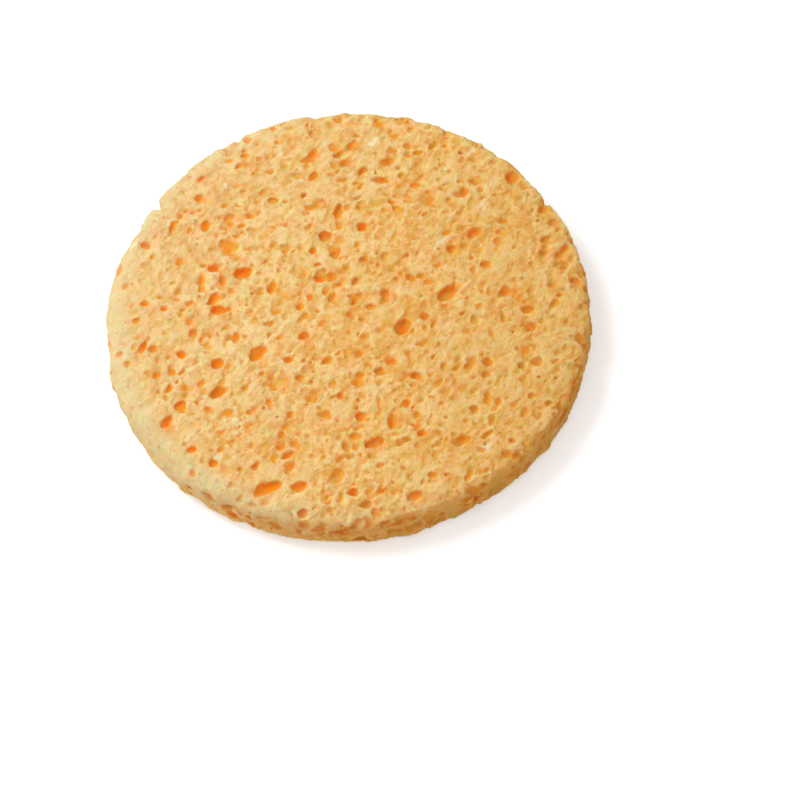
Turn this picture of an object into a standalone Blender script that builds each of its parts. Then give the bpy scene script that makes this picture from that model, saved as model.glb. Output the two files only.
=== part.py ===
"""Round cellulose sponge: one disc, punched from a sheet of open-pored cellulose.

Metres, +Z up. The origin is the middle of the face that the sponge lies on.
"""

import math
import random

import bmesh
import bpy
from mathutils import Matrix, Vector

MM = 0.001

# The disc
DIAMETER = 76 * MM  # across the outline, on average
THICKNESS = 8.5 * MM
RIM_ROUNDING = 1.0 * MM  # the punch rolls both rims over a little
OUT_OF_ROUND = 0.3 * MM  # how far the soft outline strays from a circle
OUTLINE_POINTS = 100
RIM_STEPS = 2

# The open pores
PORE = 2.0 * MM  # the length of a middling pore, which the lists below count in
DEPTH_FOR_WIDTH = 0.85  # a pore goes this many widths deep
SUNK = 0.3  # how far its widest level lies under its mouth, as a share of its depth
WALL = 0.35 * MM  # the least left between two pores
PORE_SIDES = 7
PORE_RINGS = 4
UNEVEN = 0.13  # how far a pore's wall strays from an ellipsoid, as a share of its size
MOUNT_LAND = 3.0 * MM  # radius of the solid spot in the middle of the lower face

# Pores that open on the upper face, the ones that show first. Each has its place in
# hundredths of the radius, its length and width in pores, and its turn in degrees.
UPPER_PORES = (
    # middle
    (-7, 41, 1.25, 0.90, 5),
    (0, 53, 1.50, 0.80, 85),
    (22, -7, 1.65, 1.10, 70),
    (27, 17, 0.90, 0.80, 0),
    (32, 17, 0.75, 0.60, 60),
    (42, 7, 1.80, 1.15, 42),
    (9, 44, 1.00, 0.85, 0),
    (3, 8, 1.30, 0.60, 75),
    (16, 9, 1.25, 0.70, 80),
    (-3, 32, 1.30, 0.70, 50),
    (-24, 35, 0.95, 0.55, 50),
    (-6, 10, 1.25, 0.60, 55),
    (-19, -7, 0.90, 0.65, 0),
    (32, -3, 0.85, 0.75, 0),
    (11, -28, 1.00, 0.65, -5),
    (26, -32, 0.95, 0.75, -20),
    # far side
    (2, 81, 1.15, 0.65, 20),
    (11, 72, 1.25, 0.65, 25),
    (21, 75, 1.40, 0.70, 0),
    (19, 66, 1.50, 0.60, -22),
    (2, 68, 1.20, 0.50, 0),
    (33, 62, 0.95, 0.45, 15),
    (44, 71, 1.20, 0.45, -10),
    (47, 81, 1.00, 0.55, 85),
    (57, 61, 1.10, 0.55, -25),
    (73, 62, 1.20, 1.15, 0),
    (-56, 74, 0.70, 0.55, 0),
    (-58, 65, 0.70, 0.60, 0),
    (-37, 54, 0.70, 0.60, 0),
    (-56, 51, 1.10, 0.70, 85),
    # right
    (56, 36, 1.40, 0.75, 35),
    (45, 29, 0.75, 0.75, 0),
    (66, 6, 0.85, 0.75, 90),
    (75, -13, 0.95, 0.80, 0),
    (75, -4, 1.05, 0.85, 0),
    (85, 30, 0.80, 0.75, 0),
    (83, 23, 0.80, 0.60, -20),
    (89, 38, 0.95, 0.65, 80),
    (95, 8, 0.95, 0.80, 0),
    (85, -26, 1.30, 0.38, -15),
    (56, -28, 0.85, 0.80, 0),
    (64, -33, 0.60, 0.55, 0),
    (76, -30, 0.90, 0.70, 0),
    (48, -29, 0.90, 0.55, 30),
    (35, -36, 1.00, 0.50, 40),
    # near side
    (6, -63, 1.80, 0.95, 18),
    (15, -53, 1.60, 0.70, 68),
    (26, -60, 0.90, 0.85, 0),
    (43, -65, 1.30, 0.85, 30),
    (21, -45, 0.75, 0.70, 0),
    (1, -49, 0.95, 0.85, 90),
    (-13, -46, 0.95, 0.60, 35),
    (-8, -69, 0.95, 0.65, 45),
    (-28, -45, 0.75, 0.65, 90),
    (-26, -81, 1.30, 0.85, 40),
    (-39, -80, 2.25, 1.10, 25),
    (49, -81, 0.85, 0.45, 90),
    (21, -90, 1.20, 0.75, 20),
    (1, -92, 0.90, 0.75, 0),
    (18, -76, 0.55, 0.50, 0),
    # left
    (-42, 26, 1.35, 1.15, 20),
    (-39, -14, 1.80, 0.95, 45),
    (-56, -17, 1.20, 0.95, 15),
    (-57, -31, 1.50, 0.90, 35),
    (-60, 24, 1.20, 0.55, 65),
    (-51, 23, 1.25, 0.60, 80),
    (-54, 9, 1.20, 0.80, 15),
    (-68, 35, 1.30, 0.55, 60),
    (-47, -5, 1.00, 0.65, 25),
    (-84, 15, 0.80, 0.50, 0),
    (-79, -44, 1.50, 0.70, 60),
    (-77, -28, 1.40, 0.55, 45),
    (-61, -39, 0.55, 0.55, 0),
    (-71, -20, 1.10, 0.50, 30),
    (-50, -70, 0.55, 0.55, 0),
    (-82, 44, 0.80, 0.75, 90),
)

# Where a pore has broken through a rim: its bearing in degrees, how high it lies as a
# share of the thickness, and its size in pores.
RIM_BITES = (
    (140, 0.96, 1.25),
    (113, 0.97, 0.80),
    (38, 0.96, 0.80),
    (-14, 0.95, 0.90),
    (-63, 0.98, 0.70),
    (203, 0.03, 0.90),
    (292, 0.02, 0.80),
    (75, 0.04, 0.85),
)

# Pores of the wall and the lower face, strewn by chance: how many are tried, and their
# sizes in pores
LOWER_TRIES = 60
LOWER_SIZES = (0.55, 1.60)
SIDE_TRIES = 34
SIDE_SIZES = (0.50, 0.95)
SIDE_BAND = (0.28, 0.72)  # of the thickness, between the rims
SLIMNESS = (0.55, 0.95)  # width over length
CHANCE = 29

CELLULOSE = (0.84, 0.52, 0.18, 1.0)


def clear_scene():
    for old in list(bpy.data.objects):
        bpy.data.objects.remove(old, do_unlink=True)


def new_collection(name):
    collection = bpy.data.collections.new(name)
    bpy.context.scene.collection.children.link(collection)
    return collection


def cellulose_material():
    material = bpy.data.materials.new("cellulose")
    material.use_nodes = True
    shader = material.node_tree.nodes["Principled BSDF"]
    shader.inputs["Base Color"].default_value = CELLULOSE
    shader.inputs["Roughness"].default_value = 0.9
    shader.inputs["Metallic"].default_value = 0.0
    material.diffuse_color = CELLULOSE
    return material


def outline_radius(bearing):
    """The disc's radius at a bearing in radians: a circle with a few soft lobes."""
    lobes = (
        0.5 * math.sin(2 * bearing + 0.6)
        + 0.35 * math.sin(3 * bearing + 2.1)
        + 0.25 * math.sin(7 * bearing + 0.4)
    )
    return DIAMETER / 2 + OUT_OF_ROUND * lobes


def disc_mesh():
    """The plain disc, with its outline and no pores yet."""
    shape = bmesh.new()
    bmesh.ops.create_cone(
        shape,
        cap_ends=True,
        cap_tris=False,
        segments=OUTLINE_POINTS,
        radius1=DIAMETER / 2,
        radius2=DIAMETER / 2,
        depth=THICKNESS,
        matrix=Matrix.Translation((0, 0, THICKNESS / 2)),
    )
    for corner in shape.verts:
        bearing = math.atan2(corner.co.y, corner.co.x)
        radius = outline_radius(bearing)
        corner.co.x = radius * math.cos(bearing)
        corner.co.y = radius * math.sin(bearing)
    xs = [corner.co.x for corner in shape.verts]
    ys = [corner.co.y for corner in shape.verts]
    middle = Vector((min(xs) + max(xs), min(ys) + max(ys), 0)) / 2
    bmesh.ops.translate(shape, vec=-middle, verts=shape.verts)
    mesh = bpy.data.meshes.new("sponge")
    shape.to_mesh(mesh)
    shape.free()
    return mesh


class Pores:
    """Every pore's ellipsoid, kept as one cutter mesh, with what each one fills."""

    def __init__(self):
        self.shape = bmesh.new()
        self.filled = []
        self.chance = random.Random(CHANCE)

    def is_clear(self, centre, reach):
        return all(
            (centre - other).length > reach + taken + WALL for other, taken in self.filled
        )

    def keep_clear(self, centre, reach):
        self.filled.append((centre, reach))

    def add(self, mouth, inward, along, length, width):
        """A pore cut in the direction inward from its mouth, which is a little narrower than
        the pore's widest ring."""
        half_depth = width * DEPTH_FOR_WIDTH / (1 + SUNK)
        widen = 1 / (1 - SUNK * math.tan(math.pi / PORE_RINGS / 2))
        centre = mouth + inward * (half_depth * SUNK)
        across = inward.cross(along)
        axes = Matrix((along * length * widen / 2, across * width * widen / 2, inward * half_depth))
        placed = Matrix.Translation(centre) @ axes.transposed().to_4x4()
        made = bmesh.ops.create_uvsphere(
            self.shape, u_segments=PORE_SIDES, v_segments=PORE_RINGS, radius=1, matrix=placed
        )
        for corner in made["verts"]:
            stray = 1 + UNEVEN * (2 * self.chance.random() - 1)
            corner.co = centre + (corner.co - centre) * stray
        self.filled.append((centre, max(length / 2, half_depth)))

    def add_if_clear(self, mouth, inward, along, length, width):
        reach = max(length, width * DEPTH_FOR_WIDTH) / 2
        if self.is_clear(mouth + inward * reach * SUNK, reach):
            self.add(mouth, inward, along, length, width)

    def cutter(self, collection):
        bmesh.ops.recalc_face_normals(self.shape, faces=self.shape.faces)
        mesh = bpy.data.meshes.new("pore_cutter")
        self.shape.to_mesh(mesh)
        self.shape.free()
        cutter = bpy.data.objects.new("pore_cutter", mesh)
        cutter.hide_render = True
        cutter.display_type = "WIRE"
        collection.objects.link(cutter)
        return cutter


def flat_direction(turn):
    return Vector((math.cos(turn), math.sin(turn), 0))


def add_upper_pores(pores):
    down = Vector((0, 0, -1))
    for x, y, length, width, turn in UPPER_PORES:
        mouth = Vector((x, y, 0)) * (DIAMETER / 2 / 100) + Vector((0, 0, THICKNESS))
        pores.add(mouth, down, flat_direction(math.radians(turn)), length * PORE, width * PORE)


def add_rim_bites(pores):
    for bearing, height, size in RIM_BITES:
        angle = math.radians(bearing)
        outward = flat_direction(angle)
        mouth = outward * outline_radius(angle) + Vector((0, 0, THICKNESS * height))
        around = Vector((-outward.y, outward.x, 0))
        pores.add(mouth, -outward, around, size * PORE, size * PORE * SLIMNESS[0])


def strew_on_lower_face(pores):
    """Pores strewn evenly over the lower face, wherever they are clear of the others."""
    for _ in range(LOWER_TRIES):
        reach = (DIAMETER / 2 - RIM_ROUNDING) * math.sqrt(pores.chance.random())
        mouth = flat_direction(pores.chance.uniform(0, math.tau)) * reach
        length = pores.chance.uniform(*LOWER_SIZES) * PORE
        width = length * pores.chance.uniform(*SLIMNESS)
        along = flat_direction(pores.chance.uniform(0, math.pi))
        pores.add_if_clear(mouth, Vector((0, 0, 1)), along, length, width)


def strew_on_side(pores):
    """Pores strewn round the wall, between the two rims."""
    for _ in range(SIDE_TRIES):
        angle = pores.chance.uniform(0, math.tau)
        height = THICKNESS * pores.chance.uniform(*SIDE_BAND)
        outward = flat_direction(angle)
        mouth = outward * outline_radius(angle) + Vector((0, 0, height))
        length = pores.chance.uniform(*SIDE_SIZES) * PORE
        width = length * pores.chance.uniform(*SLIMNESS)
        lean = pores.chance.uniform(-1, 1)
        along = (Vector((-outward.y, outward.x, 0)) + Vector((0, 0, lean))).normalized()
        pores.add_if_clear(mouth, -outward, along, length, width)


def all_pores(collection):
    pores = Pores()
    add_upper_pores(pores)
    add_rim_bites(pores)
    pores.keep_clear(Vector((0, 0, 0)), MOUNT_LAND)
    strew_on_side(pores)
    strew_on_lower_face(pores)
    return pores.cutter(collection)


def sponge(parts, cutters):
    """The finished disc: rims rolled over, then the pores cut into both faces and the wall."""
    body = bpy.data.objects.new("sponge", disc_mesh())
    parts.objects.link(body)
    body.data.materials.append(cellulose_material())

    rims = body.modifiers.new("rolled_rims", "BEVEL")
    rims.width = RIM_ROUNDING
    rims.segments = RIM_STEPS
    rims.limit_method = "ANGLE"
    rims.angle_limit = math.radians(45)

    cut = body.modifiers.new("pores", "BOOLEAN")
    cut.operation = "DIFFERENCE"
    cut.solver = "EXACT"
    cut.use_self = True
    cut.object = all_pores(cutters)
    return body


def main():
    clear_scene()
    parts = new_collection("cellulose_sponge")
    cutters = new_collection("cutters")
    sponge(parts, cutters)


main()
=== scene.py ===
import math
import random

import bpy
import numpy as np
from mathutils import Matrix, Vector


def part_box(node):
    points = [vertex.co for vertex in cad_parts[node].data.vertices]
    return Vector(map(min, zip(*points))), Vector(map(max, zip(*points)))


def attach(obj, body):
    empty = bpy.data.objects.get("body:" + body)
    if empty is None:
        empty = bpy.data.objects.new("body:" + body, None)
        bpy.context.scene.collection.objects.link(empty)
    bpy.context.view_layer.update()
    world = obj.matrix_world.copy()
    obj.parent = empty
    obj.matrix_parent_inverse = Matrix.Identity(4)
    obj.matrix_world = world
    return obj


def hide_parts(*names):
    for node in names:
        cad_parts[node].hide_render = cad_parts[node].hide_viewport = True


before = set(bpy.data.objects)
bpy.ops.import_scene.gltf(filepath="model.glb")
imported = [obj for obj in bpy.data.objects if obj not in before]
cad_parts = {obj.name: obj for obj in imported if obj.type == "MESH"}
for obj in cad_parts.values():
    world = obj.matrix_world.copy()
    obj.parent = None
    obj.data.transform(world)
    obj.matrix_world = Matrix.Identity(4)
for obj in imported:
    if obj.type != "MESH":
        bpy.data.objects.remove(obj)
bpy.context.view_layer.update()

import openvdb
from mathutils import Matrix, Vector

mm = 0.001
solidLow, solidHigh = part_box("sponge")
print("frame loaded: the sponge's solid is", [round(side / mm, 2) for side in solidHigh - solidLow], "mm")


# Voxel fields: arrays of distances to a surface in mm, negative inside. All places here are in mm.

def solidField(node, voxel, reach):
    # the solid of a node, as a field with its lowest corner, reach voxels bigger all round
    mesh = node.data
    mesh.calc_loop_triangles()
    corners = np.empty(len(mesh.vertices) * 3, np.float32)
    mesh.vertices.foreach_get("co", corners)
    corners = corners.reshape(-1, 3) / np.float32(mm)
    faces = np.empty(len(mesh.loop_triangles) * 3, np.int32)
    mesh.loop_triangles.foreach_get("vertices", faces)
    grid = openvdb.FloatGrid.createLevelSetFromPolygons(
        corners,
        triangles=faces.reshape(-1, 3).astype(np.uint32),
        transform=openvdb.createLinearTransform(voxelSize=voxel),
        halfWidth=reach,
    )
    first = np.floor(corners.min(0) / voxel).astype(int) - reach
    last = np.ceil(corners.max(0) / voxel).astype(int) + reach
    values = np.empty(last - first + 1, np.float32)
    grid.copyToArray(values, ijk=tuple(int(i) for i in first))
    return {"values": values, "low": first * voxel, "voxel": voxel}


def axesOf(field):
    # the x, y and z of a field's points, shaped to spread over its array
    x, y, z = (
        (low + np.arange(count) * field["voxel"]).astype(np.float32)
        for low, count in zip(field["low"], field["values"].shape)
    )
    return x[:, None, None], y[None, :, None], z[None, None, :]


def softMax(a, b, blend):
    # the greater of two fields, rounded over where they meet
    overlap = np.maximum(blend - np.abs(a - b), 0) / blend
    return np.maximum(a, b) + overlap * overlap * blend / 4


def stampPore(field, centre, axes, radii, blend, tint):
    # takes an ellipsoid out of a field, and gives the walls that it leaves their tint
    voxel = field["voxel"]
    values = field["values"]
    extent = np.sqrt(((axes * radii[:, None]) ** 2).sum(0)) + blend + voxel
    first = np.maximum(np.floor((centre - extent - field["low"]) / voxel).astype(int), 0)
    last = np.minimum(np.ceil((centre + extent - field["low"]) / voxel).astype(int) + 1, values.shape)
    if (first >= last).any():
        return
    ticks = [
        np.arange(a, b) * voxel + low - middle
        for a, b, low, middle in zip(first, last, field["low"], centre)
    ]
    offset = np.stack(np.meshgrid(*ticks, indexing="ij"), axis=-1)
    local = offset @ axes.T / radii
    scaled = np.sqrt((local ** 2).sum(-1))
    slope = np.sqrt(((local / radii) ** 2).sum(-1)) + 1e-6
    distance = (scaled * (scaled - 1) / slope).astype(np.float32)
    window = tuple(slice(a, b) for a, b in zip(first, last))
    values[window] = softMax(values[window], -distance, blend)
    field["tint"][window][distance < voxel] = tint


latticeSize = 64
latticeStart = 1000  # added to every place, so that none is negative
lattices = {}  # by seed, so that each is filled once


def latticeNoise(x, y, z, cell, turn, seed):
    # smooth noise from -1 to 1 at some places, in cells that may be longer one way and turned about Z
    if seed not in lattices:
        values = np.random.default_rng(seed).uniform(-1, 1, (latticeSize,) * 3)
        lattices[seed] = values.astype(np.float32)
    table = lattices[seed]
    along = (math.cos(turn) * x + math.sin(turn) * y) / cell[0] + latticeStart
    across = (math.cos(turn) * y - math.sin(turn) * x) / cell[1] + latticeStart
    up = np.asarray(z) / cell[2] + latticeStart
    whole = [np.floor(part).astype(np.int32) for part in (along, across, up)]
    rest = [part - floor for part, floor in zip((along, across, up), whole)]
    fade = [part * part * (3 - 2 * part) for part in rest]
    total = 0
    for corner in range(8):
        steps = (corner & 1, corner >> 1 & 1, corner >> 2 & 1)
        weight = 1
        for part, step in zip(fade, steps):
            weight = weight * (part if step else 1 - part)
        cells = [(floor + step) % latticeSize for floor, step in zip(whole, steps)]
        total = total + weight * table[cells[0], cells[1], cells[2]]
    return total


def boxBlur(values, width):
    # the mean over a cube width points wide, along each axis in turn
    for axis in range(3):
        spare = [(0, 0)] * 3
        spare[axis] = (width // 2 + 1, width // 2)
        sums = np.cumsum(np.pad(values, spare, mode="edge"), axis=axis, dtype=np.float64)
        count = values.shape[axis]
        upper = np.take(sums, range(width, width + count), axis=axis)
        lower = np.take(sums, range(0, count), axis=axis)
        values = ((upper - lower) / width).astype(np.float32)
    return values


def sampleField(field, values, points):
    # reads an array of the field's shape at some points, between its own ones
    place = (points - field["low"]) / field["voxel"]
    whole = np.clip(np.floor(place).astype(int), 0, np.array(values.shape) - 2)
    rest = np.clip(place - whole, 0, 1)
    total = np.zeros(len(points))
    for corner in range(8):
        step = np.array((corner & 1, corner >> 1 & 1, corner >> 2 & 1))
        weight = np.where(step, rest, 1 - rest).prod(axis=1)
        i, j, k = (whole + step).T
        total += weight * values[i, j, k]
    return total


def biggestPart(faces, pointCount):
    # the faces of the largest connected surface, without sealed hollows and crumbs
    label = np.arange(pointCount)
    edges = np.concatenate([faces[:, [0, 1]], faces[:, [1, 2]]])
    while True:
        lower = np.minimum(label[edges[:, 0]], label[edges[:, 1]])
        before = label.copy()
        np.minimum.at(label, edges[:, 0], lower)
        np.minimum.at(label, edges[:, 1], lower)
        label = label[label]
        if (label == before).all():
            break
    owner = label[faces[:, 0]]
    return faces[owner == np.bincount(owner).argmax()]


def meshFromField(field, name):
    grid = openvdb.FloatGrid(float(field["values"].max()))
    grid.copyFromArray(field["values"])
    grid.transform = openvdb.createLinearTransform(voxelSize=field["voxel"])
    points, triangles, quads = grid.convertToPolygons(isovalue=0, adaptivity=0)
    points = points + field["low"]
    faces = np.concatenate([triangles, quads[:, [0, 1, 2]], quads[:, [0, 2, 3]]]).astype(np.int64)
    a, b, c = (points[faces[:, i]] for i in range(3))
    if np.einsum("ij,ij->i", a, np.cross(b, c)).sum() < 0:
        faces = faces[:, ::-1]
    faces = biggestPart(faces, len(points))
    used, index = np.unique(faces, return_inverse=True)
    faces = index.reshape(-1, 3)
    points = points[used] * mm
    mesh = bpy.data.meshes.new(name)
    mesh.vertices.add(len(points))
    mesh.vertices.foreach_set("co", points.astype(np.float32).ravel())
    mesh.loops.add(faces.size)
    mesh.loops.foreach_set("vertex_index", faces.astype(np.int32).ravel())
    mesh.polygons.add(len(faces))
    mesh.polygons.foreach_set("loop_start", np.arange(0, faces.size, 3, dtype=np.int32))
    mesh.update(calc_edges=True)
    return mesh


# The sponge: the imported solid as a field, with worn rims, finer pores and crumbs. Lengths are in mm.

spongeShape = {
    "voxel": 0.2,
    "reach": 8,                 # voxels of field outside the solid
    "triangles": 190000,
    "seed": 7,                  # each use of chance adds its own number to it
    "soften": 3,                # voxels over which the solid's own edges are rounded
    "rimWidth": 4.0,            # how far in from the outline the faces fall away
    "rubbedWidth": 20.0,        # and how far in the fine pores are fewer, on the worn side
    "rimDrop": 0.60,
    "rimDropWorn": 0.70,        # added on the side that is worn the most
    "rimCurve": 2.6,            # the power by which a face falls towards the outline
    "sharpFar": 0.8,            # the share of the drop that is missing at the far side
    "wornSide": math.radians(192),   # the bearing of that side
    # the palest side is the one towards the light: the face there gets painted light, and the far side
    # painted shade
    "paintedLightSide": math.radians(168),   # and of the side where the face is the palest
    "roundRim": 0.4,
    "roundWorn": 1.2,           # added on the worn side
    "lowerRimDrop": 1.1,        # times what the upper rim drops
    "lowerRoundRim": 2.4,
    "skinBlend": 0.3,           # rounding where the solid meets the skin
    "swell": 0.15,              # how far the wall stands out from the solid's, on the whole
    "swellFar": 0.45,           # and how much further at the far side
    "swellWorn": 0.25,          # and on the worn side
    "ragged": ((6.5, 0.20), (2.0, 0.14)),  # cells and heights of the waves in the wall
    "raggedReach": 1.6,         # how far from the outline those waves are felt
    # nicks in the outline: bearing in degrees, width and depth
    "nicks": ((139.5, 1.3, 1.3), (113, 0.9, 0.6)),
    "deepest": 1.15,            # how far under the skin the deepest pores end
    "deepestBlend": 0.5,        # and the rounding of their floors
    "clearOfFaces": 0.2,        # how far from both faces the wall's pores lie
    "clearOfRim": 1.4,          # how far under the far upper rim the wall's pores lie, in half lengths
    "rubbedAway": (0.25, 1.15),      # the worn share at which a strewn pore is gone, by chance
    "tintCell": (3.2, 2.2, 3.2),     # size of the redder and yellower patches of pores
    "tintWidth": 3,             # voxels over which that tint is blurred
    "hollowWidth": 11,          # and over which the share of solid round a point is taken
    "warp": ((2.4, 0.24), (1.1, 0.12)),    # cells and reach of what pulls the pores out of round
    "sag": 0.18,                # how far the faces dip here and there
    "sagCell": 16.0,
    "overFloor": 0.05,          # where the lower face lies, so that no point of it goes into the floor
    "lie": math.radians(55),         # the way the cells lie on the faces
    "lieFar": math.radians(12),      # and near the far rim
    "lieSpread": math.radians(24),
    "leanOnFace": 0.25,         # how steeply a pore may lie, as its rise over its run
    "leanOnWall": 1.0,
    # strewn pores: the sides they are on, half length, width over length, depth over width, how far
    # their widest level lies under the surface as a share of the depth, number to a square mm and
    # rounding of the lip
    "strewn": (
        {"on": ("top", "bottom"), "long": (0.40, 1.0), "slim": (0.45, 0.85), "deep": (0.8, 1.3),
         "sunk": (-0.70, -0.25), "many": 0.50, "lip": 0.12},
        {"on": ("top", "bottom", "wall"), "long": (0.24, 0.46), "slim": (0.6, 0.95), "deep": (0.9, 1.4),
         "sunk": (-0.3, 0.4), "many": 0.20, "lip": 0.10},
        {"on": ("bottom",), "long": (0.5, 1.1), "slim": (0.5, 0.9), "deep": (0.7, 1.1),
         "sunk": (-0.2, 0.3), "many": 0.022, "lip": 0.16},
        {"on": ("wall",), "long": (0.6, 1.4), "slim": (0.5, 0.95), "deep": (0.7, 1.2),
         "sunk": (-0.2, 0.4), "many": 0.10, "lip": 0.16},
        {"on": ("wall",), "long": (0.4, 0.9), "slim": (0.5, 0.9), "deep": (0.9, 1.3),
         "sunk": (-0.5, 0.1), "many": 0.45, "lip": 0.12},
    ),
    # middling pores of the upper face: x, y, length and width in mm, and the turn in degrees
    "middling": {
        "deep": 0.60,           # depth over width
        "grown": 1.25,
        "lip": 0.16,
        "pores": (
            (-4.7, 12.9, 1.0, 1.0, 0), (-4.2, 10.4, 1.1, 0.8, 0), (-2.0, 7.8, 1.4, 1.4, 0),
            (-3.9, 7.6, 1.6, 1.4, 0), (-7.6, 2.8, 1.4, 1.2, 90), (-11.7, 6.9, 2.0, 1.2, 60),
            (-20.8, 11.4, 1.6, 1.4, 20), (-33.5, 2.6, 1.4, 0.9, 45), (-21.1, 5.6, 2.2, 1.2, 60),
            (-29.0, 4.6, 1.0, 0.9, 0),
            (-3.6, 26.9, 1.6, 1.0, 60), (-14.3, 31.8, 1.2, 0.8, 0), (-26.5, 19.6, 2.2, 0.9, 70),
            (-3.6, 30.8, 2.2, 0.9, 60), (1.6, 28.9, 1.4, 1.2, 0), (13.3, 29.7, 1.6, 0.8, 0),
            (15.8, 30.8, 1.8, 1.0, 45), (3.8, 24.2, 1.6, 0.8, 60), (19.9, 21.5, 1.4, 1.4, 0),
            (8.4, 20.7, 1.0, 0.9, 0), (32.3, 17.1, 1.3, 1.3, 0), (25.8, 15.3, 1.2, 0.9, 0),
            (19.4, 11.4, 1.2, 1.0, 30), (35.2, 9.3, 1.6, 1.0, 40), (34.1, 8.2, 1.4, 1.1, 45),
            (34.8, 6.1, 1.2, 1.2, 0), (22.4, 7.5, 1.6, 1.2, 0), (1.5, 6.5, 1.5, 1.0, 60),
            (3.7, 1.5, 1.4, 1.0, 0),
            (3.0, 10.4, 1.2, 1.0, 0), (-27.6, -13.7, 2.0, 1.2, 45), (-31.2, -3.0, 1.2, 1.0, 0),
            (-32.8, -2.4, 2.4, 0.9, 65), (-26.8, -4.3, 1.2, 1.1, 0), (-28.6, -7.6, 1.3, 0.9, 60),
            (-31.1, -7.7, 1.0, 1.0, 0), (-10.1, -7.0, 1.2, 1.0, 0), (-4.0, -7.9, 1.8, 1.0, 40),
            (-8.6, -10.6, 1.2, 1.0, 0), (-2.5, -14.7, 1.1, 1.0, 0), (-12.1, -20.8, 1.0, 1.0, 0),
            (-12.6, -23.1, 0.9, 0.9, 0), (-11.5, -24.7, 1.8, 1.0, 30), (0.4, -12.2, 1.4, 1.0, 90),
            (-23.1, -25.1, 1.3, 1.1, 0), (-16.5, -26.2, 1.6, 0.8, 50), (-3.9, -28.8, 2.0, 1.1, 30),
            (-1.9, -24.0, 2.0, 0.9, 90), (-0.7, -24.1, 1.3, 0.9, 90), (-9.9, -35.5, 1.6, 1.4, 0),
            (-26.5, -22.2, 1.2, 0.9, 0), (-11.1, -27.0, 2.0, 0.9, 50), (36.6, -8.0, 1.8, 1.2, 80),
            (6.1, -9.0, 1.2, 1.1, 0), (16.2, -11.5, 1.2, 0.8, 60), (26.9, -11.7, 1.0, 1.0, 0),
            (21.1, -12.9, 1.4, 0.9, 0), (7.7, -23.8, 1.1, 0.9, 0), (20.2, -24.1, 1.8, 1.0, 30),
            (24.0, -25.6, 0.9, 0.9, 0), (23.1, -28.0, 1.2, 1.0, 0), (24.5, -28.3, 1.6, 1.2, 80),
            (17.0, -30.6, 1.8, 0.9, 80), (11.1, -30.8, 1.6, 1.0, 0), (27.7, -17.7, 1.0, 1.0, 0),
            (30.4, -19.2, 1.0, 1.0, 0), (22.3, -18.1, 1.0, 1.0, 0), (21.1, -21.6, 1.8, 1.0, 80),
            (20.9, -17.2, 2.2, 1.0, 80), (3.0, -32.7, 1.6, 0.9, 0), (-1.4, -32.7, 1.4, 1.4, 0),
            (18.6, -19.2, 1.1, 1.1, 0),
        ),
    },
    # and dips, given in the same way
    "shallow": {
        "deep": 0.18,
        "grown": 1.1,
        "lip": 0.30,
        "pores": (
            (-7.1, 8.9, 2.2, 1.2, 0), (-11.2, 3.6, 1.6, 1.6, 0), (-18.0, 15.0, 3.0, 2.6, 30),
            (14.4, 20.8, 2.4, 2.0, 60), (21.2, 9.9, 2.6, 1.2, 75), (28.3, 8.9, 1.8, 1.0, 0),
            (-20.1, -16.3, 2.8, 1.2, 0),
            (-11.7, -11.1, 1.6, 1.6, 0), (-21.1, -26.6, 3.0, 1.2, 50), (12.2, -5.6, 1.9, 1.1, 0),
            (31.0, -17.7, 1.6, 1.6, 0),
        ),
    },
    "crumbReach": 0.7,          # how far from the surface the crumbs are added
    # crumbs: cell size along, across and up, its turn in degrees, and how deep it goes
    "crumbs": (((2.4, 1.5, 1.6), 55, 0.08), ((1.1, 0.75, 0.8), 50, 0.12), ((0.5, 0.42, 0.42), 0, 0.10)),
}


def outlineOf(points, height, count=120):
    # the solid's radius all round, from the widest point of its wall in each direction
    wall = points[np.abs(points[:, 2] - height / 2) < height * 0.42]
    bearing = np.arctan2(wall[:, 1], wall[:, 0])
    radius = np.hypot(wall[:, 0], wall[:, 1])
    found = []
    for i in range(count):
        middle = -math.pi + (i + 0.5) * math.tau / count
        apart = np.abs((bearing - middle + math.pi) % math.tau - math.pi)
        found.append(radius[apart < 2.5 * math.tau / count].max())
    return np.array(found)


def radiusAt(outline, bearing):
    count = len(outline)
    place = (bearing + math.pi) / math.tau * count - 0.5
    whole = np.floor(place).astype(int)
    rest = place - whole
    return outline[whole % count] * (1 - rest) + outline[(whole + 1) % count] * rest


def wornShare(bearing, shape):
    # 1 on the side of the disc that is worn the most, and 0 on the other
    return np.clip(0.2 + 0.9 * np.cos(bearing - shape["wornSide"]), 0, 1)


def skinLevels(x, y, shape, outline, height):
    # how far in from the outline some places lie, and how high the worn faces are over and under them
    bearing = np.arctan2(y, x)
    inward = radiusAt(outline, bearing) - np.hypot(x, y)
    wornAndLit = wornShare(bearing, shape)
    near = np.clip(1 - inward / shape["rimWidth"], 0, 1.2)
    sharp = 1 - shape["sharpFar"] * np.maximum(np.sin(bearing), 0) ** 2
    fall = (shape["rimDrop"] * sharp + shape["rimDropWorn"] * wornAndLit * sharp) * near ** shape["rimCurve"]
    cell = (shape["sagCell"],) * 3
    dips = [0.5 + 0.5 * latticeNoise(x, y, side, cell, 0, shape["seed"]) for side in (0.0, 40.0)]
    top = height - fall - shape["sag"] * dips[0]
    bottom = shape["lowerRimDrop"] * fall + 0.5 * shape["sag"] * dips[1]
    return inward, top, bottom


def wornAndLitRim(x, y, width, shape, outline):
    # 1 at the rim on the side that is worn the most, and 0 on the other side and a width in from the rim
    bearing = np.arctan2(y, x)
    inward = radiusAt(outline, np.atleast_1d(bearing)) - np.hypot(x, y)
    return wornShare(bearing, shape) * np.clip(1 - inward / width, 0, 1)


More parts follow.
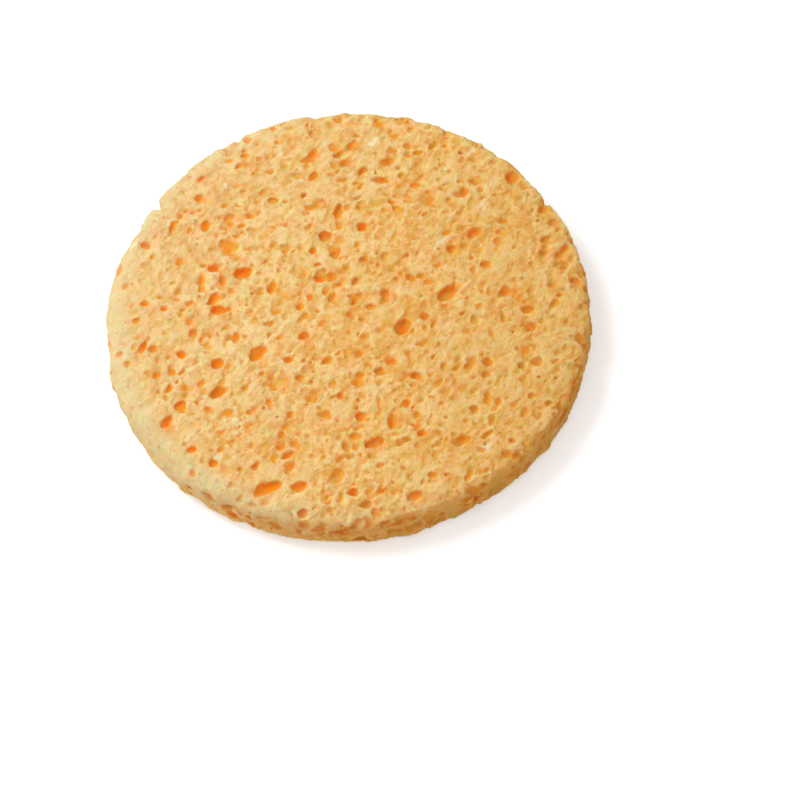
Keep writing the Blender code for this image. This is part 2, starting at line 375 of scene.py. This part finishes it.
def shapeSkin(field, shape, outline, height):
    # the solid with its edges softened, its wall uneven and its faces worn down at the rims
    values = boxBlur(boxBlur(field["values"], shape["soften"]), shape["soften"])
    x, y, z = axesOf(field)
    inward, top, bottom = skinLevels(x, y, shape, outline, height)
    inward = np.broadcast_to(inward, values.shape)
    ring = np.abs(inward) < 2.5
    bearing = np.arctan2(y, x)
    swell = shape["swell"] + shape["swellFar"] * np.maximum(np.sin(bearing), 0) ** 2
    swell = swell + shape["swellWorn"] * wornShare(bearing, shape)
    for nick, wide, deep in shape["nicks"]:
        aside = ((bearing - math.radians(nick) + math.pi) % math.tau - math.pi) * outline.mean()
        swell = swell - deep * np.exp(-(2 * aside / wide) ** 2)
    wander = np.array(np.broadcast_to(swell, values.shape), np.float32)
    places = [np.broadcast_to(axis, values.shape)[ring] for axis in (x, y, z)]
    for number, (cell, high) in enumerate(shape["ragged"]):
        wander[ring] += high * latticeNoise(*places, (cell,) * 3, 0, shape["seed"] + 3 + number)
    values -= wander * np.clip(shape["raggedReach"] - np.abs(inward), 0, 1)
    roundRim = shape["roundRim"] + shape["roundWorn"] * wornShare(bearing, shape)
    skin = softMax(-inward - wander, z - top, roundRim)
    skin = softMax(skin, bottom - z, shape["lowerRoundRim"]).astype(np.float32)
    field["skin"] = skin
    field["values"] = softMax(values, skin, shape["skinBlend"])


def poreAxes(inward, along):
    inward = inward / np.linalg.norm(inward)
    across = np.cross(inward, along)
    across /= np.linalg.norm(across)
    return np.stack([np.cross(across, inward), across, inward])


def strewnPlace(side, length, chance, shape, outline, height):
    # a chance place on one side: the middle of the mouth, the way out of the sponge, and the way
    # that the pore is long
    bearing = chance.uniform(-math.pi, math.pi)
    if side == "wall":
        outward = np.array([math.cos(bearing), math.sin(bearing), 0])
        edge = float(radiusAt(outline, np.array([bearing]))[0]) + shape["swell"]
        lowest = shape["clearOfFaces"]
        highest = height - lowest - shape["clearOfRim"] * length * max(math.sin(bearing), 0)
        mouth = outward * edge + np.array([0, 0, chance.uniform(lowest, highest)])
        lean = chance.uniform(-shape["leanOnWall"], shape["leanOnWall"])
        return mouth, outward, np.array([-outward[1], outward[0], lean])
    reach = float(outline.mean()) * math.sqrt(chance.random())
    x, y = math.cos(bearing) * reach, math.sin(bearing) * reach
    _, top, bottom = skinLevels(np.array([x]), np.array([y]), shape, outline, height)
    mouth = np.array([x, y, float(top[0] if side == "top" else bottom[0])])
    outward = np.array([0, 0, 1.0 if side == "top" else -1.0])
    far = min(max((y / reach if reach > 20 else 0) - 0.4, 0) / 0.4, 1)
    turn = chance.gauss(shape["lie"] * (1 - far) + shape["lieFar"] * far, shape["lieSpread"])
    lean = chance.uniform(-shape["leanOnFace"], shape["leanOnFace"])
    return mouth, outward, np.array([math.cos(turn), math.sin(turn), lean])


def strewPores(field, shape, outline, height):
    chance = random.Random(shape["seed"])
    faceArea = math.pi * float(outline.mean()) ** 2
    area = {"top": faceArea, "bottom": faceArea, "wall": math.tau * float(outline.mean()) * height}
    made = 0
    for family in shape["strewn"]:
        for side in family["on"]:
            for _ in range(int(area[side] * family["many"])):
                length = chance.uniform(*family["long"])
                width = length * chance.uniform(*family["slim"])
                depth = width * chance.uniform(*family["deep"])
                mouth, outward, along = strewnPlace(side, length, chance, shape, outline, height)
                rubbed = wornAndLitRim(*mouth[:2], shape["rubbedWidth"], shape, outline)
                if side != "bottom" and rubbed > chance.uniform(*shape["rubbedAway"]):
                    continue
                centre = mouth - outward * depth * chance.uniform(*family["sunk"])
                radii = np.array([length, width, depth])
                stampPore(field, centre, poreAxes(-outward, along), radii, family["lip"], chance.random())
                made += 1
    return made


def sinkSeenPores(field, shape, outline, height):
    # the pores of the upper face that have a place of their own but are too fine for the solid
    chance = random.Random(shape["seed"] + 1)
    down = np.array([0, 0, -1.0])
    for group in (shape["middling"], shape["shallow"]):
        for x, y, length, width, turn in group["pores"]:
            top = float(skinLevels(np.array([x]), np.array([y]), shape, outline, height)[1][0])
            along = np.array([math.cos(math.radians(turn)), math.sin(math.radians(turn)), 0])
            radii = np.array([length / 2, width / 2, width * group["deep"]]) * group["grown"]
            axes = poreAxes(down, along)
            stampPore(field, np.array([x, y, top]), axes, radii, group["lip"], chance.random())


def addCrumbs(field, shape):
    values = field["values"]
    near = np.abs(values) < shape["crumbReach"]
    places = [np.broadcast_to(axis, values.shape)[near] for axis in axesOf(field)]
    rough = 0
    for number, (cell, turn, deep) in enumerate(shape["crumbs"]):
        rough = rough + deep * latticeNoise(*places, cell, math.radians(turn), shape["seed"] + 10 + number)
    values[near] += rough


def colourMasks(field, mesh, shape, outline, height):
    # what the material reads: how deep each point lies under the skin in mm, how shut in it is, and so on
    points = np.empty(len(mesh.vertices) * 3, np.float32)
    mesh.vertices.foreach_get("co", points)
    points = points.reshape(-1, 3) / mm
    x, y, z = points.T
    bearing = np.arctan2(y, x)
    inward = radiusAt(outline, bearing) - np.hypot(x, y)
    # how far a point lies towards the lit side, for painted light there and painted shade on the far side
    towardsPaintedLight = x * math.cos(shape["paintedLightSide"]) + y * math.sin(shape["paintedLightSide"])
    fromFaces = np.minimum(z, height - z)
    wornAndLit = wornAndLitRim(x, y, shape["rimWidth"], shape, outline)
    onWall = np.clip(1 - inward / 1.5, 0, 1) * np.clip(fromFaces / 1.5 - 0.3, 0, 1)
    solid = np.clip(0.5 - field["values"] / field["voxel"], 0, 1)
    masks = {
        # depth and how shut in a point is, for the painted interreflection in the pores
        "poreDepth": -sampleField(field, field["skin"], points),
        "hollow": sampleField(field, boxBlur(solid, shape["hollowWidth"]), points),
        "tint": sampleField(field, boxBlur(field["tint"], shape["tintWidth"]), points),
        # the worn rim that faces the light, for its pale colour: worn cellulose and painted highlight
        "wornAndLitRim": wornAndLit * np.clip((z - height) / 4 + 1.35, 0, 1),
        # the wall, less on the lit side, for painted shade and bounce light
        "wall": onWall * (1 - 0.8 * wornAndLit ** 2),
        "paintedLightSide": 0.5 + 0.5 * (towardsPaintedLight / outline.mean()),
    }
    for name, values in masks.items():
        layer = mesh.attributes.new(name, "FLOAT", "POINT")
        layer.data.foreach_set("value", values.astype(np.float32))
        print("   ", name, "spans", np.round(np.percentile(values, (1, 25, 50, 75, 99)), 3))


def warpPores(mesh, shape):
    # pulls the surface sideways here and there, because no pore of cellulose is an ellipsoid
    points = np.empty(len(mesh.vertices) * 3, np.float32)
    mesh.vertices.foreach_get("co", points)
    points = points.reshape(-1, 3) / mm
    pulled = points.copy()
    for number, (cell, reach) in enumerate(shape["warp"]):
        for axis in (0, 1):
            seed = shape["seed"] + 20 + 2 * number + axis
            pulled[:, axis] += reach * latticeNoise(*points.T, (cell,) * 3, 0, seed)
    mesh.vertices.foreach_set("co", (pulled * mm).astype(np.float32).ravel())
    mesh.update()


def makeSponge(node):
    shape = spongeShape
    height = float(solidHigh.z - solidLow.z) / mm
    field = solidField(node, shape["voxel"], shape["reach"])
    corners = np.array([corner.co for corner in node.data.vertices]) / mm
    outline = outlineOf(corners, height)
    x, y, z = axesOf(field)
    tint = 0.5 + 0.5 * latticeNoise(x, y, z, shape["tintCell"], shape["lie"], shape["seed"] + 2)
    field["tint"] = tint.astype(np.float32)
    print("field of", field["values"].shape, "voxels")
    shapeSkin(field, shape, outline, height)
    print("pores strewn:", strewPores(field, shape, outline, height))
    sinkSeenPores(field, shape, outline, height)
    field["values"] = -softMax(-field["values"], -field["skin"] - shape["deepest"], shape["deepestBlend"])
    addCrumbs(field, shape)
    ends = np.maximum(shape["overFloor"] - z, z - height)
    field["values"] = np.maximum(field["values"], ends).astype(np.float32)
    mesh = meshFromField(field, "spongeSurface")
    print("surface of", len(mesh.polygons), "triangles")
    sponge = bpy.data.objects.new("spongeSurface", mesh)
    bpy.context.scene.collection.objects.link(sponge)
    thin = sponge.modifiers.new("thin", "DECIMATE")
    thin.ratio = min(1, shape["triangles"] / len(mesh.polygons))
    graph = bpy.context.evaluated_depsgraph_get()
    thinned = bpy.data.meshes.new_from_object(sponge.evaluated_get(graph))
    sponge.modifiers.remove(thin)
    sponge.data = thinned
    bpy.data.meshes.remove(mesh)
    sponge.data.shade_smooth()
    colourMasks(field, sponge.data, shape, outline, height)
    warpPores(sponge.data, shape)
    print("thinned to", len(sponge.data.polygons), "triangles")
    return sponge


# Cellulose: apricot faces, yellower in some places and redder in others, with painted interreflection by
# depth (paler crests, more saturated orange pores), painted light and shade across the face and rim, and
# painted shade on the wall

cellulose = {
    # by depth under the skin in mm: crest, face, shallow pore and deep pore; this is painted
    # interreflection, paler on the crests and more saturated orange the deeper a pore goes
    "depths": (-0.12, 0.06, 0.48, 1.25),
    "yellower": ((0.94, 0.70, 0.30), (0.89, 0.55, 0.17), (0.93, 0.41, 0.042), (1.0, 0.292, 0.004)),
    "redder": ((0.96, 0.67, 0.30), (0.91, 0.52, 0.18), (0.96, 0.32, 0.036), (1.0, 0.215, 0.003)),
    "light": (1.0, 0.80, 0.44),
    "shade": (0.71, 0.41, 0.093),
    "patch": (0.84, 0.355, 0.060),
    "speck": (0.88, 0.24, 0.04),
    "dot": (0.50, 0.34, 0.10),
    "tear": (0.96, 0.86, 0.64),
    # the worn rim's paler tone with painted highlight, also laid as painted light on the side towards the
    # light
    "wornAndLit": (0.71, 0.63, 0.355),
    # painted shade on the side away from the light
    "paintedShadeTone": (0.72, 0.43, 0.09),
    # painted shade and orange bounce light on the wall
    "paintedWallShade": (0.84, 0.38, 0.07),
    "roughness": 0.85,
    "gloss": 0.06,
    "subsurface": 1.0,
    "subsurfaceRadius": (2.6, 0.5, 0.16),
    "subsurfaceScale": 1.0 * mm,
    "bump": 0.50,
    "bumpHeight": 0.24 * mm,
    # each pattern's turn about Z in degrees, and the size of its cells in mm
    "cells": {
        "patches": (55, (3.0, 2.0, 2.4)),
        "blots": (55, (2.6, 1.9, 2.2)),
        "mottle": (50, (1.2, 0.9, 1.0)),
        "streaks": (60, (2.2, 0.8, 1.3)),
        "threads": (55, (1.7, 1.15, 1.3)),
        "tears": (52, (9.0, 3.2, 4.0)),
        "specks": (50, (1.5, 1.1, 1.2)),
        "dots": (20, (0.65, 0.65, 0.65)),
        "grit": (55, (0.55, 0.38, 0.4)),
    },
    # how far each colour covers what lies under it, at the most
    "shares": {
        "patch": 0.88, "blot": 0.45, "pale": 0.52, "shade": 0.60, "light": 0.54, "streak": 0.7,
        "thread": 0.28, "paintedShadeSide": 0.4, "paintedLightSide": 0.32, "wornAndLitRim": 0.65, "paintedWallShade": 0.75,
        "tear": 0.6, "speck": 0.6, "dot": 0.5,
    },
    # how much the patterns stand up or go in, over the grit
    "relief": {"mottle": 0.9, "streaks": 0.6, "threads": 0.6, "dots": -0.5, "blots": -0.8},
}


def addNode(tree, kind, label, **settings):
    node = tree.nodes.new(kind)
    node.label = label
    for name, value in settings.items():
        setattr(node, name, value)
    return node


def attribute(tree, name):
    return addNode(tree, "ShaderNodeAttribute", name, attribute_name=name).outputs["Fac"]


def calculate(tree, label, operation, *values):
    node = addNode(tree, "ShaderNodeMath", label, operation=operation)
    for socket, value in zip(node.inputs, values):
        if isinstance(value, (int, float)):
            socket.default_value = value
        else:
            tree.links.new(value, socket)
    return node.outputs["Value"]


def between(tree, label, source, low, high, fromLow=0.0, toHigh=1.0):
    # spreads a value's low to high over 0 to 1, and holds it there
    node = addNode(tree, "ShaderNodeMapRange", label, clamp=True)
    tree.links.new(source, node.inputs["Value"])
    for socket, value in (("From Min", low), ("From Max", high), ("To Min", fromLow), ("To Max", toHigh)):
        node.inputs[socket].default_value = value
    return node.outputs["Result"]


def ramp(tree, label, source, stops):
    node = addNode(tree, "ShaderNodeValToRGB", label)
    tree.links.new(source, node.inputs["Fac"])
    elements = node.color_ramp.elements
    while len(elements) < len(stops):
        elements.new(0.5)
    for element, (place, colour) in zip(elements, stops):
        element.position = place
        element.color = (*colour, 1)
    return node.outputs["Color"]


def blend(tree, label, share, under, over):
    # one colour laid over another, as far as the share says, by the Mix node's colour sockets
    node = addNode(tree, "ShaderNodeMix", label, data_type="RGBA")
    tree.links.new(share, node.inputs["Factor"])
    for socket, colour in ((node.inputs[6], under), (node.inputs[7], over)):
        if isinstance(colour, tuple):
            socket.default_value = (*colour, 1)
        else:
            tree.links.new(colour, socket)
    return node.outputs[2]


def stretched(tree, label, place):
    # the object's coordinates, turned and divided by the size of a pattern's cells
    turn, size = cellulose["cells"][label]
    turned = addNode(tree, "ShaderNodeMapping", label + " turned", vector_type="TEXTURE")
    turned.inputs["Rotation"].default_value = (0, 0, math.radians(turn))
    turned.inputs["Scale"].default_value = [side * mm for side in size]
    tree.links.new(place, turned.inputs["Vector"])
    return turned.outputs["Vector"]


def noise(tree, label, place, detail, wave=0.0):
    node = addNode(tree, "ShaderNodeTexNoise", label)
    tree.links.new(stretched(tree, label, place), node.inputs["Vector"])
    node.inputs["Scale"].default_value = 1
    node.inputs["Detail"].default_value = detail
    node.inputs["Distortion"].default_value = wave
    return node.outputs["Fac"]


def spots(tree, label, place, radius, share):
    # soft round spots in some of the cells: radius in cells, and the share of the cells that has one
    cells = addNode(tree, "ShaderNodeTexVoronoi", label + " cells")
    tree.links.new(stretched(tree, label, place), cells.inputs["Vector"])
    cells.inputs["Scale"].default_value = 1
    pick = addNode(tree, "ShaderNodeSeparateColor", label + " pick")
    tree.links.new(cells.outputs["Color"], pick.inputs["Color"])
    picked = calculate(tree, label + " picked", "LESS_THAN", pick.outputs["Red"], share)
    spread, least = 0.6 * radius, 0.7 * radius
    grown = calculate(tree, label + " size", "MULTIPLY_ADD", pick.outputs["Green"], spread, least)
    near = calculate(tree, label + " near", "DIVIDE", cells.outputs["Distance"], grown)
    soft = between(tree, label + " soft", near, 1.2, 0.55)
    return calculate(tree, label, "MULTIPLY", soft, picked)


def cellWalls(tree, label, place):
    # thin wavering lines where round cells meet
    vector = stretched(tree, label, place)
    waver = addNode(tree, "ShaderNodeTexNoise", label + " waver")
    tree.links.new(vector, waver.inputs["Vector"])
    waver.inputs["Scale"].default_value = 1.6
    waver.inputs["Detail"].default_value = 1
    wavy = addNode(tree, "ShaderNodeVectorMath", label + " wavy", operation="MULTIPLY_ADD")
    tree.links.new(waver.outputs["Color"], wavy.inputs[0])
    wavy.inputs[1].default_value = (0.9, 0.9, 0.9)
    tree.links.new(vector, wavy.inputs[2])
    cells = addNode(tree, "ShaderNodeTexVoronoi", label + " cells", feature="DISTANCE_TO_EDGE")
    tree.links.new(wavy.outputs["Vector"], cells.inputs["Vector"])
    cells.inputs["Scale"].default_value = 1
    return between(tree, label, cells.outputs["Distance"], 0.15, 0.02)


def celluloseMaterial():
    look = cellulose
    most = look["shares"]
    material = bpy.data.materials.new("dryCellulose")
    material.use_nodes = True
    tree = material.node_tree
    shader = tree.nodes["Principled BSDF"]
    link = tree.links.new
    place = addNode(tree, "ShaderNodeTexCoord", "place").outputs["Object"]

    # the patterns that colours and relief share
    patches = noise(tree, "patches", place, 1, 0.5)
    mottle = noise(tree, "mottle", place, 1, 0.6)
    streaks = noise(tree, "streaks", place, 1, 0.7)
    threads = cellWalls(tree, "threads", place)
    blots = spots(tree, "blots", place, 0.30, 0.75)
    tears = spots(tree, "tears", place, 0.17, 0.4)
    specks = spots(tree, "specks", place, 0.20, 0.35)
    dots = spots(tree, "dots", place, 0.20, 0.45)

    # the depth of the pores gives the first colour: painted interreflection, more saturated orange the
    # deeper or more shut in a point lies
    lowest, deepest = look["depths"][0], look["depths"][-1]
    depth = between(tree, "depth", attribute(tree, "poreDepth"), lowest, deepest)
    shutIn = between(tree, "shut in", attribute(tree, "hollow"), 0.55, 0.85)
    deep = calculate(tree, "deep or shut in", "MULTIPLY_ADD", shutIn, 0.25, depth)
    steps = [(value - lowest) / (deepest - lowest) for value in look["depths"]]
    yellower = ramp(tree, "yellower", deep, list(zip(steps, look["yellower"])))
    redder = ramp(tree, "redder", deep, list(zip(steps, look["redder"])))
    tint = between(tree, "tint", attribute(tree, "tint"), 0.2, 0.8)
    colour = blend(tree, "tinted", tint, yellower, redder)
    onFace = calculate(tree, "not in a pore", "SUBTRACT", 1.0, between(tree, "pore", deep, 0.15, 0.4))

    # darker patches and blots, and shade: a darker random tone in the mottle that is also painted shade
    # where the mottle sinks in the relief
    patchShare = between(tree, "patch share", patches, 0.52, 0.70, toHigh=most["patch"])
    blotShare = calculate(tree, "blot share", "MULTIPLY", blots, most["blot"])
    patchShare = calculate(tree, "patch or blot", "MAXIMUM", patchShare, blotShare)
    colour = blend(tree, "patched", patchShare, colour, look["patch"])
    shadeShare = between(tree, "shade share", mottle, 0.50, 0.32, toHigh=most["shade"])
    colour = blend(tree, "shaded", shadeShare, colour, look["shade"])

    # pale crests, streaks and cell walls, on the face alone: their own paler tone, and painted highlight
    # where they stand up in the relief
    paleShare = between(tree, "pale share", patches, 0.48, 0.30, toHigh=most["pale"])
    lightShare = between(tree, "light share", mottle, 0.52, 0.70, toHigh=most["light"])
    lightShare = calculate(tree, "pale or light", "MAXIMUM", paleShare, lightShare)
    streakShare = between(tree, "streak share", streaks, 0.54, 0.76, toHigh=most["streak"])
    lightShare = calculate(tree, "streak or light", "MAXIMUM", streakShare, lightShare)
    threadsHere = between(tree, "threads here", mottle, 0.40, 0.55)
    threadShare = calculate(tree, "thread share", "MULTIPLY", threads, threadsHere)
    threadShare = calculate(tree, "thin thread share", "MULTIPLY", threadShare, most["thread"])
    lightShare = calculate(tree, "thread or light", "MAXIMUM", threadShare, lightShare)
    lightShare = calculate(tree, "light on the face", "MULTIPLY", lightShare, onFace)
    colour = blend(tree, "lighted", lightShare, colour, look["light"])

    # painted shade on the side away from the light and painted light on the side towards it, the worn rim,
    # paler in itself and with painted highlight, and painted shade with orange bounce light on the cut
    # wall
    towardsPaintedLight = attribute(tree, "paintedLightSide")
    paintedShadeShare = between(tree, "painted shade side", towardsPaintedLight, 0.75, 0.0, toHigh=most["paintedShadeSide"])
    colour = blend(tree, "painted shade on the side", paintedShadeShare, colour, look["paintedShadeTone"])
    paintedLightSide = between(tree, "painted light side", towardsPaintedLight, 0.45, 1.0, toHigh=most["paintedLightSide"])
    paintedLightFace = calculate(tree, "painted light on the face", "MULTIPLY", paintedLightSide, onFace)
    colour = blend(tree, "painted light on the side", paintedLightFace, colour, look["wornAndLit"])
    # the rim that is worn the most also faces the light: its pale colour is partly its own rubbed
    # cellulose and partly painted highlight
    wornAndLitRim = attribute(tree, "wornAndLitRim")
    rimShare = between(tree, "rim share", wornAndLitRim, 0.0, 0.65, toHigh=most["wornAndLitRim"])
    half = calculate(tree, "half in a pore", "MULTIPLY_ADD", onFace, 0.5, 0.5)
    rimShare = calculate(tree, "worn and lit on the face", "MULTIPLY", rimShare, half)
    colour = blend(tree, "wornAndLit", rimShare, colour, look["wornAndLit"])
    # painted shade and orange bounce light on the wall, less on the side that faces the light
    wallShare = calculate(tree, "wall share", "MULTIPLY", attribute(tree, "wall"), most["paintedWallShade"])
    colour = blend(tree, "painted wall shade", wallShare, colour, look["paintedWallShade"])

    # small marks
    torn = between(tree, "torn", mottle, 0.42, 0.55, toHigh=most["tear"])
    tornShare = calculate(tree, "torn here", "MULTIPLY", tears, torn)
    tornShare = calculate(tree, "torn share", "MULTIPLY", tornShare, onFace)
    colour = blend(tree, "torn", tornShare, colour, look["tear"])
    speckShare = calculate(tree, "speck share", "MULTIPLY", specks, most["speck"])
    colour = blend(tree, "specked", speckShare, colour, look["speck"])
    dotShare = calculate(tree, "dot share", "MULTIPLY", dots, most["dot"])
    colour = blend(tree, "dotted", dotShare, colour, look["dot"])
    link(colour, shader.inputs["Base Color"])

    # relief, weaker on the worn rim and in the pores
    patterns = {"mottle": mottle, "streaks": streaks, "threads": threads, "dots": dots, "blots": blots}
    relief = noise(tree, "grit", place, 3)
    for name, high in look["relief"].items():
        relief = calculate(tree, name + " in relief", "MULTIPLY_ADD", patterns[name], high, relief)
    rubbed = between(tree, "rubbed", wornAndLitRim, 0.5, 0.0, fromLow=0.9)
    relief = calculate(tree, "rubbed relief", "MULTIPLY", relief, rubbed)
    smooth = calculate(tree, "smooth in a pore", "MULTIPLY_ADD", onFace, 0.7, 0.3)
    relief = calculate(tree, "relief", "MULTIPLY", relief, smooth)
    bump = addNode(tree, "ShaderNodeBump", "crumb bump")
    bump.inputs["Strength"].default_value = look["bump"]
    bump.inputs["Distance"].default_value = look["bumpHeight"]
    link(relief, bump.inputs["Height"])
    link(bump.outputs["Normal"], shader.inputs["Normal"])

    shader.inputs["Roughness"].default_value = look["roughness"]
    shader.inputs["Specular IOR Level"].default_value = look["gloss"]
    shader.inputs["Subsurface Weight"].default_value = look["subsurface"]
    shader.inputs["Subsurface Radius"].default_value = look["subsurfaceRadius"]
    shader.inputs["Subsurface Scale"].default_value = look["subsurfaceScale"]
    return material


sponge = makeSponge(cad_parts["sponge"])
sponge.data.materials.clear()
sponge.data.materials.append(celluloseMaterial())
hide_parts("sponge")
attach(sponge, "root")
print("sponge made")


# Floor, light and camera

floorLook = {
    "size": 1.2,
    "colour": (0.86, 0.86, 0.86),
    "lift": 0.45,  # light that only the camera sees, so that the floor reads as white
}


def floorMaterial():
    material = bpy.data.materials.new("whiteFloor")
    material.use_nodes = True
    tree = material.node_tree
    link = tree.links.new
    shader = tree.nodes["Principled BSDF"]
    shader.inputs["Base Color"].default_value = (*floorLook["colour"], 1)
    shader.inputs["Roughness"].default_value = 0.9
    shader.inputs["Specular IOR Level"].default_value = 0.0
    seen = addNode(tree, "ShaderNodeLightPath", "what looks")
    either = addNode(tree, "ShaderNodeMath", "camera or gloss", operation="ADD", use_clamp=True)
    link(seen.outputs["Is Camera Ray"], either.inputs[0])
    link(seen.outputs["Is Glossy Ray"], either.inputs[1])
    through = addNode(tree, "ShaderNodeMath", "or through glass", operation="ADD", use_clamp=True)
    link(either.outputs["Value"], through.inputs[0])
    link(seen.outputs["Is Transmission Ray"], through.inputs[1])
    lift = addNode(tree, "ShaderNodeMath", "lift", operation="MULTIPLY")
    link(through.outputs["Value"], lift.inputs[0])
    lift.inputs[1].default_value = floorLook["lift"]
    shader.inputs["Emission Color"].default_value = (1, 1, 1, 1)
    link(lift.outputs["Value"], shader.inputs["Emission Strength"])
    return material


def makeFloor():
    bpy.ops.mesh.primitive_plane_add(size=floorLook["size"], location=(0, 0, 0))
    floor = bpy.context.object
    floor.name = "floor"
    floor.data.materials.append(floorMaterial())


lamps = {
    # bearing and height in degrees, distance and size in metres, watts
    "key": {"bearing": 155, "height": 58, "distance": 0.46, "size": 0.28, "power": 1.37},
    "fill": {"bearing": 250, "height": 60, "distance": 1.0, "size": 0.9, "power": 1.4},
}
skyLevel = 0.40


def makeLamps():
    for name, lamp in lamps.items():
        light = bpy.data.lights.new(name, "AREA")
        light.shape = "DISK"
        light.size = lamp["size"]
        light.energy = lamp["power"]
        holder = bpy.data.objects.new(name, light)
        bearing, height = math.radians(lamp["bearing"]), math.radians(lamp["height"])
        level = math.cos(height)
        away = Vector((math.cos(bearing) * level, math.sin(bearing) * level, math.sin(height)))
        holder.location = away * lamp["distance"]
        holder.rotation_euler = away.to_track_quat("Z", "Y").to_euler()
        bpy.context.scene.collection.objects.link(holder)
    world = bpy.data.worlds.new("paleRoom")
    bpy.context.scene.world = world
    world.use_nodes = True
    tree = world.node_tree
    background = tree.nodes["Background"]
    background.inputs["Color"].default_value = (1, 1, 1, 1)
    background.inputs["Strength"].default_value = skyLevel


photoView = {
    "frame": 800,                # pixels
    "discCentre": (348.3, 316.2),
    "discWidth": 480.8,
    "elevation": 58.0,
    "roll": 5.0,                 # the photographed disc is higher on its right
    "lens": 1200,                # the photo shows hardly any perspective
    "sensor": 36,
}


def makeCamera():
    camera = bpy.data.cameras.new("camera")
    camera.lens = photoView["lens"]
    camera.sensor_width = photoView["sensor"]
    camera.clip_start = 0.01
    camera.clip_end = 10
    holder = bpy.data.objects.new("camera", camera)
    bpy.context.scene.collection.objects.link(holder)
    bpy.context.scene.camera = holder

    perPixel = (solidHigh.x - solidLow.x) / photoView["discWidth"]
    distance = photoView["lens"] / photoView["sensor"] * photoView["frame"] * perPixel
    tilt = math.radians(photoView["elevation"])
    back = Vector((0, -math.cos(tilt), math.sin(tilt)))
    right = Vector((1, 0, 0))
    up = back.cross(right)
    turn = Matrix.Rotation(-math.radians(photoView["roll"]), 3, back)
    right, up = turn @ right, turn @ up
    half = photoView["frame"] / 2
    aside = (half - photoView["discCentre"][0]) * perPixel
    below = (photoView["discCentre"][1] - half) * perPixel
    aim = Vector((0, 0, solidHigh.z)) + right * aside + up * below
    turned = Matrix((right, up, back)).transposed().to_4x4()
    holder.matrix_world = Matrix.Translation(aim + back * distance) @ turned


makeFloor()
makeLamps()
makeCamera()
bpy.context.scene.view_settings.view_transform = "Standard"
print("floor, lamps and camera made")
